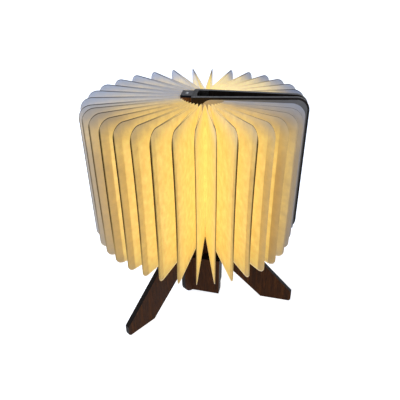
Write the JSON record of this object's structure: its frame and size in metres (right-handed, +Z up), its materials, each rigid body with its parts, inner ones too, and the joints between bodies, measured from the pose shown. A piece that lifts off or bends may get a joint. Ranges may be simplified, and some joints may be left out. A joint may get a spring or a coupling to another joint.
{
  "type": "folding book lamp on a stand",
  "caption": "Book-shaped folding lamp opened to a full ring of glowing pleated pages between wooden covers, standing on a three-legged walnut stand.",
  "frame": {"origin": "on the table under the middle of the object", "axes": "+Z up, +X along the open covers, -Y towards the viewer"},
  "size_m": [0.3215, 0.3345, 0.3495],
  "materials": {
    "stand_walnut": "dark oiled walnut with blackened cut edges",
    "cover_walnut": "dark walnut veneer with blackened cut edges",
    "core_walnut": "brown walnut column",
    "cap_plastic": "black glossy cap",
    "socket_steel": "drawn steel socket shell",
    "circuit_board": "green circuit board",
    "switch_plastic": "black moulded switch",
    "battery_foil": "foil pouch",
    "light_board": "white light board",
    "light_chip": "warm white chips",
    "magnet_nickel": "nickel plated magnet",
    "hinge_leather": "black leather strip",
    "page_paper": "translucent fibre paper, lit from inside"
  },
  "bodies": {
    "stand": {"leg_right": "stand_walnut", "leg_rear": "stand_walnut", "leg_left": "stand_walnut", "corner_block_front": "stand_walnut", "corner_block_right": "stand_walnut", "corner_block_rear": "stand_walnut"},
    "core": {"spine_board": "cover_walnut", "core_housing": "core_walnut", "bottom_cap": "cap_plastic", "top_cap": "cap_plastic", "charging_socket": "socket_steel", "charge_board": "circuit_board", "cover_switch": "switch_plastic", "battery_cell": "battery_foil", "light_board_left": "light_board", "light_chips_left": "light_chip", "light_board_front": "light_board", "light_chips_front": "light_chip", "light_board_back": "light_board", "light_chips_back": "light_chip", "front_hinge_strip": "hinge_leather", "back_hinge_strip": "hinge_leather"},
    "front_cover": {"front_cover": "cover_walnut", "front_magnets": "magnet_nickel", "front_end_paper": "page_paper"},
    "back_cover": {"back_cover": "cover_walnut", "back_magnets": "magnet_nickel", "back_end_paper": "page_paper"},
    "leaf_01": {"leaf_01": "page_paper"},
    "leaf_02": {"leaf_02": "page_paper"},
    "leaf_03": {"leaf_03": "page_paper"},
    "leaf_04": {"leaf_04": "page_paper"},
    "leaf_05": {"leaf_05": "page_paper"},
    "leaf_06": {"leaf_06": "page_paper"},
    "leaf_07": {"leaf_07": "page_paper"},
    "leaf_08": {"leaf_08": "page_paper"},
    "leaf_09": {"leaf_09": "page_paper"},
    "leaf_10": {"leaf_10": "page_paper"},
    "leaf_11": {"leaf_11": "page_paper"},
    "leaf_12": {"leaf_12": "page_paper"},
    "leaf_13": {"leaf_13": "page_paper"},
    "leaf_14": {"leaf_14": "page_paper"},
    "leaf_15": {"leaf_15": "page_paper"},
    "leaf_16": {"leaf_16": "page_paper"},
    "leaf_17": {"leaf_17": "page_paper"},
    "leaf_18": {"leaf_18": "page_paper"},
    "leaf_19": {"leaf_19": "page_paper"},
    "leaf_20": {"leaf_20": "page_paper"},
    "leaf_21": {"leaf_21": "page_paper"},
    "leaf_22": {"leaf_22": "page_paper"},
    "leaf_23": {"leaf_23": "page_paper"},
    "leaf_24": {"leaf_24": "page_paper"},
    "leaf_25": {"leaf_25": "page_paper"},
    "leaf_26": {"leaf_26": "page_paper"},
    "leaf_27": {"leaf_27": "page_paper"},
    "leaf_28": {"leaf_28": "page_paper"},
    "leaf_29": {"leaf_29": "page_paper"},
    "leaf_30": {"leaf_30": "page_paper"},
    "leaf_31": {"leaf_31": "page_paper"},
    "leaf_32": {"leaf_32": "page_paper"}
  },
  "joints": [
    {"name": "lamp_lift", "type": "slide", "parent": "stand", "child": "core", "axis": [0, 0, 1], "range_m": [0, 0.15]},
    {"name": "front_cover_fold", "type": "hinge", "parent": "core", "child": "front_cover", "pos_m": [-0.00204, -0.019, 0.24], "axis": [0, 0, 1], "range_deg": [-184.86, 0], "deforming": ["front_hinge_strip"]},
    {"name": "back_cover_fold", "type": "hinge", "parent": "core", "child": "back_cover", "pos_m": [-0.00204, 0.019, 0.24], "axis": [0, 0, 1], "range_deg": [0, 184.86], "deforming": ["back_hinge_strip"]},
    {"name": "leaf_01_fold", "type": "hinge", "parent": "core", "child": "leaf_01", "pos_m": [0.00865, 0.01746, 0.24], "axis": [0, 0, 1], "range_deg": [0, 172.75], "deforming": ["leaf_01"]},
    {"name": "leaf_02_fold", "type": "hinge", "parent": "core", "child": "leaf_02", "pos_m": [0.00904, 0.01541, 0.24], "axis": [0, 0, 1], "range_deg": [0, 157.85], "deforming": ["leaf_02"]},
    {"name": "leaf_03_fold", "type": "hinge", "parent": "core", "child": "leaf_03", "pos_m": [0.0094, 0.01343, 0.24], "axis": [0, 0, 1], "range_deg": [0, 143.19], "deforming": ["leaf_03"]},
    {"name": "leaf_04_fold", "type": "hinge", "parent": "core", "child": "leaf_04", "pos_m": [0.00972, 0.01158, 0.24], "axis": [0, 0, 1], "range_deg": [0, 128.89], "deforming": ["leaf_04"]},
    {"name": "leaf_05_fold", "type": "hinge", "parent": "core", "child": "leaf_05", "pos_m": [0.00999, 0.00987, 0.24], "axis": [0, 0, 1], "range_deg": [0, 115], "deforming": ["leaf_05"]},
    {"name": "leaf_06_fold", "type": "hinge", "parent": "core", "child": "leaf_06", "pos_m": [0.01017, 0.0083, 0.24], "axis": [0, 0, 1], "range_deg": [0, 101.51], "deforming": ["leaf_06"]},
    {"name": "leaf_07_fold", "type": "hinge", "parent": "core", "child": "leaf_07", "pos_m": [0.01025, 0.00689, 0.24], "axis": [0, 0, 1], "range_deg": [0, 88.4], "deforming": ["leaf_07"]},
    {"name": "leaf_08_fold", "type": "hinge", "parent": "core", "child": "leaf_08", "pos_m": [0.01021, 0.0056, 0.24], "axis": [0, 0, 1], "range_deg": [0, 75.59], "deforming": ["leaf_08"]},
    {"name": "leaf_09_fold", "type": "hinge", "parent": "core", "child": "leaf_09", "pos_m": [0.01, 0.0044, 0.24], "axis": [0, 0, 1], "range_deg": [0, 63.02], "deforming": ["leaf_09"]},
    {"name": "leaf_10_fold", "type": "hinge", "parent": "core", "child": "leaf_10", "pos_m": [0.00958, 0.00324, 0.24], "axis": [0, 0, 1], "range_deg": [0, 50.63], "deforming": ["leaf_10"]},
    {"name": "leaf_11_fold", "type": "hinge", "parent": "core", "child": "leaf_11", "pos_m": [0.0088, 0.00202, 0.24], "axis": [0, 0, 1], "range_deg": [0, 38.35], "deforming": ["leaf_11"]},
    {"name": "leaf_12_fold", "type": "hinge", "parent": "core", "child": "leaf_12", "pos_m": [0.00723, 0.00053, 0.24], "axis": [0, 0, 1], "range_deg": [0, 26.15], "deforming": ["leaf_12"]},
    {"name": "leaf_13_fold", "type": "hinge", "parent": "core", "child": "leaf_13", "pos_m": [0.00292, -0.00213, 0.24], "axis": [0, 0, 1], "range_deg": [0, 13.99], "deforming": ["leaf_13"]},
    {"name": "leaf_14_fold", "type": "hinge", "parent": "core", "child": "leaf_14", "pos_m": [-0.05813, -0.02992, 0.24], "axis": [0, 0, 1], "range_deg": [0, 1.85], "deforming": ["leaf_14"]},
    {"name": "leaf_15_fold", "type": "hinge", "parent": "core", "child": "leaf_15", "pos_m": [0.02462, 0.00607, 0.24], "axis": [0, 0, 1], "range_deg": [-10.31, 0], "deforming": ["leaf_15"]},
    {"name": "leaf_16_fold", "type": "hinge", "parent": "core", "child": "leaf_16", "pos_m": [0.01778, 0.00232, 0.24], "axis": [0, 0, 1], "range_deg": [-22.46, 0], "deforming": ["leaf_16"]},
    {"name": "leaf_17_fold", "type": "hinge", "parent": "core", "child": "leaf_17", "pos_m": [0.01565, 0.00079, 0.24], "axis": [0, 0, 1], "range_deg": [-32.66, 0], "deforming": ["leaf_17"]},
    {"name": "leaf_18_fold", "type": "hinge", "parent": "core", "child": "leaf_18", "pos_m": [0.01443, -0.00026, 0.24], "axis": [0, 0, 1], "range_deg": [-40.9, 0], "deforming": ["leaf_18"]},
    {"name": "leaf_19_fold", "type": "hinge", "parent": "core", "child": "leaf_19", "pos_m": [0.01359, -0.00123, 0.24], "axis": [0, 0, 1], "range_deg": [-49.18, 0], "deforming": ["leaf_19"]},
    {"name": "leaf_20_fold", "type": "hinge", "parent": "core", "child": "leaf_20", "pos_m": [0.01296, -0.00218, 0.24], "axis": [0, 0, 1], "range_deg": [-57.51, 0], "deforming": ["leaf_20"]},
    {"name": "leaf_21_fold", "type": "hinge", "parent": "core", "child": "leaf_21", "pos_m": [0.01246, -0.00312, 0.24], "axis": [0, 0, 1], "range_deg": [-65.91, 0], "deforming": ["leaf_21"]},
    {"name": "leaf_22_fold", "type": "hinge", "parent": "core", "child": "leaf_22", "pos_m": [0.01203, -0.00409, 0.24], "axis": [0, 0, 1], "range_deg": [-74.39, 0], "deforming": ["leaf_22"]},
    {"name": "leaf_23_fold", "type": "hinge", "parent": "core", "child": "leaf_23", "pos_m": [0.01165, -0.0051, 0.24], "axis": [0, 0, 1], "range_deg": [-82.98, 0], "deforming": ["leaf_23"]},
    {"name": "leaf_24_fold", "type": "hinge", "parent": "core", "child": "leaf_24", "pos_m": [0.01129, -0.00615, 0.24], "axis": [0, 0, 1], "range_deg": [-91.69, 0], "deforming": ["leaf_24"]},
    {"name": "leaf_25_fold", "type": "hinge", "parent": "core", "child": "leaf_25", "pos_m": [0.01095, -0.00727, 0.24], "axis": [0, 0, 1], "range_deg": [-100.56, 0], "deforming": ["leaf_25"]},
    {"name": "leaf_26_fold", "type": "hinge", "parent": "core", "child": "leaf_26", "pos_m": [0.01061, -0.00846, 0.24], "axis": [0, 0, 1], "range_deg": [-109.59, 0], "deforming": ["leaf_26"]},
    {"name": "leaf_27_fold", "type": "hinge", "parent": "core", "child": "leaf_27", "pos_m": [0.01029, -0.00971, 0.24], "axis": [0, 0, 1], "range_deg": [-118.8, 0], "deforming": ["leaf_27"]},
    {"name": "leaf_28_fold", "type": "hinge", "parent": "core", "child": "leaf_28", "pos_m": [0.00996, -0.01103, 0.24], "axis": [0, 0, 1], "range_deg": [-128.19, 0], "deforming": ["leaf_28"]},
    {"name": "leaf_29_fold", "type": "hinge", "parent": "core", "child": "leaf_29", "pos_m": [0.00965, -0.01242, 0.24], "axis": [0, 0, 1], "range_deg": [-137.78, 0], "deforming": ["leaf_29"]},
    {"name": "leaf_30_fold", "type": "hinge", "parent": "core", "child": "leaf_30", "pos_m": [0.00934, -0.01387, 0.24], "axis": [0, 0, 1], "range_deg": [-147.54, 0], "deforming": ["leaf_30"]},
    {"name": "leaf_31_fold", "type": "hinge", "parent": "core", "child": "leaf_31", "pos_m": [0.00905, -0.01537, 0.24], "axis": [0, 0, 1], "range_deg": [-157.45, 0], "deforming": ["leaf_31"]},
    {"name": "leaf_32_fold", "type": "hinge", "parent": "core", "child": "leaf_32", "pos_m": [0.00877, -0.0169, 0.24], "axis": [0, 0, 1], "range_deg": [-167.48, 0], "deforming": ["leaf_32"]}
  ],
  "couplings": [
    {"joint": "leaf_01_fold", "follows": "back_cover_fold", "ratio": 0.93439},
    {"joint": "leaf_02_fold", "follows": "back_cover_fold", "ratio": 0.8538},
    {"joint": "leaf_03_fold", "follows": "back_cover_fold", "ratio": 0.77452},
    {"joint": "leaf_04_fold", "follows": "back_cover_fold", "ratio": 0.69716},
    {"joint": "leaf_05_fold", "follows": "back_cover_fold", "ratio": 0.62201},
    {"joint": "leaf_06_fold", "follows": "back_cover_fold", "ratio": 0.54907},
    {"joint": "leaf_07_fold", "follows": "back_cover_fold", "ratio": 0.47812},
    {"joint": "leaf_08_fold", "follows": "back_cover_fold", "ratio": 0.40883},
    {"joint": "leaf_09_fold", "follows": "back_cover_fold", "ratio": 0.34085},
    {"joint": "leaf_10_fold", "follows": "back_cover_fold", "ratio": 0.2738},
    {"joint": "leaf_11_fold", "follows": "back_cover_fold", "ratio": 0.2074},
    {"joint": "leaf_12_fold", "follows": "back_cover_fold", "ratio": 0.14139},
    {"joint": "leaf_13_fold", "follows": "back_cover_fold", "ratio": 0.075618},
    {"joint": "leaf_14_fold", "follows": "back_cover_fold", "ratio": 0.009947},
    {"joint": "leaf_15_fold", "follows": "front_cover_fold", "ratio": 0.055712},
    {"joint": "leaf_16_fold", "follows": "front_cover_fold", "ratio": 0.12144},
    {"joint": "leaf_17_fold", "follows": "front_cover_fold", "ratio": 0.17661},
    {"joint": "leaf_18_fold", "follows": "front_cover_fold", "ratio": 0.22119},
    {"joint": "leaf_19_fold", "follows": "front_cover_fold", "ratio": 0.26598},
    {"joint": "leaf_20_fold", "follows": "front_cover_fold", "ratio": 0.31104},
    {"joint": "leaf_21_fold", "follows": "front_cover_fold", "ratio": 0.35646},
    {"joint": "leaf_22_fold", "follows": "front_cover_fold", "ratio": 0.40235},
    {"joint": "leaf_23_fold", "follows": "front_cover_fold", "ratio": 0.44881},
    {"joint": "leaf_24_fold", "follows": "front_cover_fold", "ratio": 0.49595},
    {"joint": "leaf_25_fold", "follows": "front_cover_fold", "ratio": 0.5439},
    {"joint": "leaf_26_fold", "follows": "front_cover_fold", "ratio": 0.59274},
    {"joint": "leaf_27_fold", "follows": "front_cover_fold", "ratio": 0.64257},
    {"joint": "leaf_28_fold", "follows": "front_cover_fold", "ratio": 0.69341},
    {"joint": "leaf_29_fold", "follows": "front_cover_fold", "ratio": 0.74526},
    {"joint": "leaf_30_fold", "follows": "front_cover_fold", "ratio": 0.79806},
    {"joint": "leaf_31_fold", "follows": "front_cover_fold", "ratio": 0.85167},
    {"joint": "leaf_32_fold", "follows": "front_cover_fold", "ratio": 0.9059}
  ]
}
